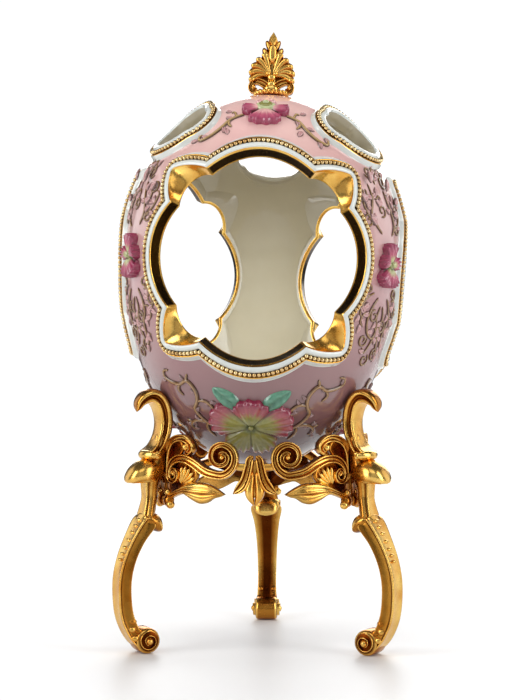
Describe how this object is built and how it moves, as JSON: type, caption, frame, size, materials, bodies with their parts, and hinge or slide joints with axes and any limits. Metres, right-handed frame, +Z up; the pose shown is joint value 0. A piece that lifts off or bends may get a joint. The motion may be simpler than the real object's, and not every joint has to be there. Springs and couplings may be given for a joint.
{
  "type": "ornamental egg on stand",
  "caption": "Hollow pierced porcelain egg with flower relief and a gilt palmette finial, resting in a gilt three-legged scrollwork stand.",
  "frame": {"origin": "on the ground, midway between the feet, on the stand's axis", "axes": "+Z up; -Y is the front, towards which one large opening faces; +X is the right of that view"},
  "size_m": [0.1023, 0.1004, 0.219],
  "materials": {
    "porcelain": "glazed, pink with white mouldings and gilt lines",
    "gilt": "polished gold plate"
  },
  "bodies": {
    "root": {"egg_shell": "porcelain", "finial": "gilt", "leg_right": "gilt", "leg_left": "gilt", "leg_back": "gilt", "gallery_front": "gilt", "gallery_back_right": "gilt", "gallery_back_left": "gilt"}
  },
  "joints": []
}
